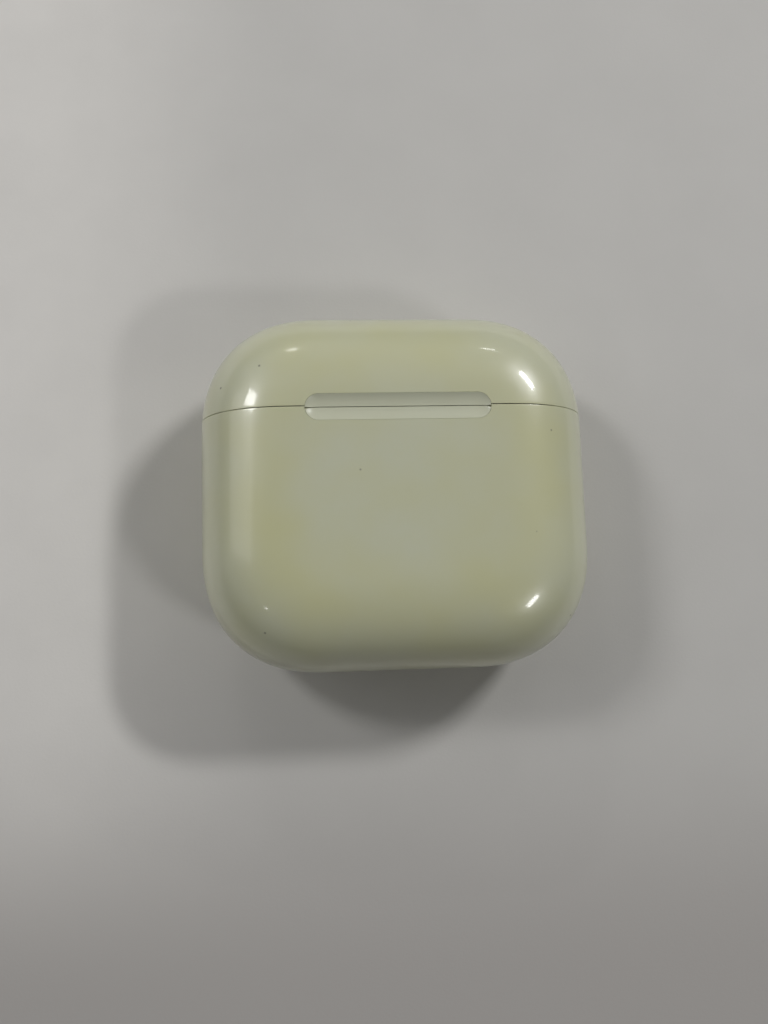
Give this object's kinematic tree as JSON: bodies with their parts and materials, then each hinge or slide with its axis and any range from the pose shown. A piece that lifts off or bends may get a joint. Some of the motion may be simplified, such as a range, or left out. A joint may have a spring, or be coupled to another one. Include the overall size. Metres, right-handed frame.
{
  "type": "wireless earbuds case",
  "caption": "Pebble-shaped charging case for a pair of stem earbuds, with a rear-hinged lid, wells with sprung contacts and a charging socket in its foot.",
  "frame": {"origin": "middle of the footprint, on the surface that the case's front face lies on", "axes": "+X across the case's width, +Y towards the lid's end, +Z out through the back face that carries the hinge"},
  "size_m": [0.05, 0.0462, 0.0212],
  "materials": {
    "shell_plastic": "glossy moulded, yellowed white",
    "tray_plastic": "glossy moulded, off white",
    "coated_metal": "glossy coat in the shell's colour",
    "steel": "plain",
    "gold_plate": "gold plated",
    "magnet_nickel": "nickel plated",
    "cell_foil": "laminated foil",
    "foam": "black foam",
    "board_resin": "solder resist",
    "chip_resin": "black resin",
    "flex_film": "amber film",
    "copper": "enamelled copper",
    "ferrite": "dark grey",
    "silicone": "pale silicone",
    "clear_resin": "translucent"
  },
  "bodies": {
    "case": {"body_outer_shell": "shell_plastic", "earbud_tray": "tray_plastic", "hinge_body_leaf": "coated_metal", "hinge_pin": "steel", "hinge_spring": "steel", "body_hinge_screw_left": "steel", "body_hinge_screw_right": "steel", "port_screw_left": "steel", "port_screw_right": "steel", "port_shell": "steel", "port_bracket": "steel", "board_shield": "steel", "body_closure_magnet_left": "magnet_nickel", "body_closure_magnet_right": "magnet_nickel", "earbud_magnet_left": "magnet_nickel", "earbud_magnet_right": "magnet_nickel", "battery_cell": "cell_foil", "battery_pad": "foam", "battery_lead": "flex_film", "contact_flex_left": "flex_film", "contact_flex_right": "flex_film", "main_board": "board_resin", "charge_chip": "chip_resin", "lid_sensor": "chip_resin", "port_tongue": "chip_resin", "status_led": "clear_resin", "status_light_guide": "clear_resin", "port_gasket": "silicone", "charging_coil": "copper", "ferrite_sheet": "ferrite", "contact_barrel_left_inner": "gold_plate", "contact_spring_left_inner": "steel", "contact_barrel_left_outer": "gold_plate", "contact_spring_left_outer": "steel", "contact_barrel_right_inner": "gold_plate", "contact_spring_right_inner": "steel", "contact_barrel_right_outer": "gold_plate", "contact_spring_right_outer": "steel"},
    "lid": {"lid_outer_shell": "shell_plastic", "lid_inner_liner": "tray_plastic", "hinge_lid_leaf": "coated_metal", "lid_closure_magnet_left": "magnet_nickel", "lid_closure_magnet_right": "magnet_nickel", "lid_hinge_screw_left": "steel", "lid_hinge_screw_right": "steel"},
    "left_inner_contact": {"contact_plunger_left_inner": "gold_plate"},
    "left_outer_contact": {"contact_plunger_left_outer": "gold_plate"},
    "right_inner_contact": {"contact_plunger_right_inner": "gold_plate"},
    "right_outer_contact": {"contact_plunger_right_outer": "gold_plate"}
  },
  "joints": [
    {"name": "lid_hinge", "type": "hinge", "parent": "case", "child": "lid", "pos_m": [0, 0.00764, 0.0199], "axis": [1, 0, 0], "range_deg": [0, 100]},
    {"name": "left_inner_press", "type": "slide", "parent": "case", "child": "left_inner_contact", "axis": [0, -1, 0], "range_m": [0, 0.0005], "stiffness_N_per_m": 400, "springref_m": -0.0002, "deforming": ["contact_spring_left_inner"]},
    {"name": "left_outer_press", "type": "slide", "parent": "case", "child": "left_outer_contact", "axis": [0, -1, 0], "range_m": [0, 0.0005], "stiffness_N_per_m": 400, "springref_m": -0.0002, "deforming": ["contact_spring_left_outer"]},
    {"name": "right_inner_press", "type": "slide", "parent": "case", "child": "right_inner_contact", "axis": [0, -1, 0], "range_m": [0, 0.0005], "stiffness_N_per_m": 400, "springref_m": -0.0002, "deforming": ["contact_spring_right_inner"]},
    {"name": "right_outer_press", "type": "slide", "parent": "case", "child": "right_outer_contact", "axis": [0, -1, 0], "range_m": [0, 0.0005], "stiffness_N_per_m": 400, "springref_m": -0.0002, "deforming": ["contact_spring_right_outer"]}
  ]
}
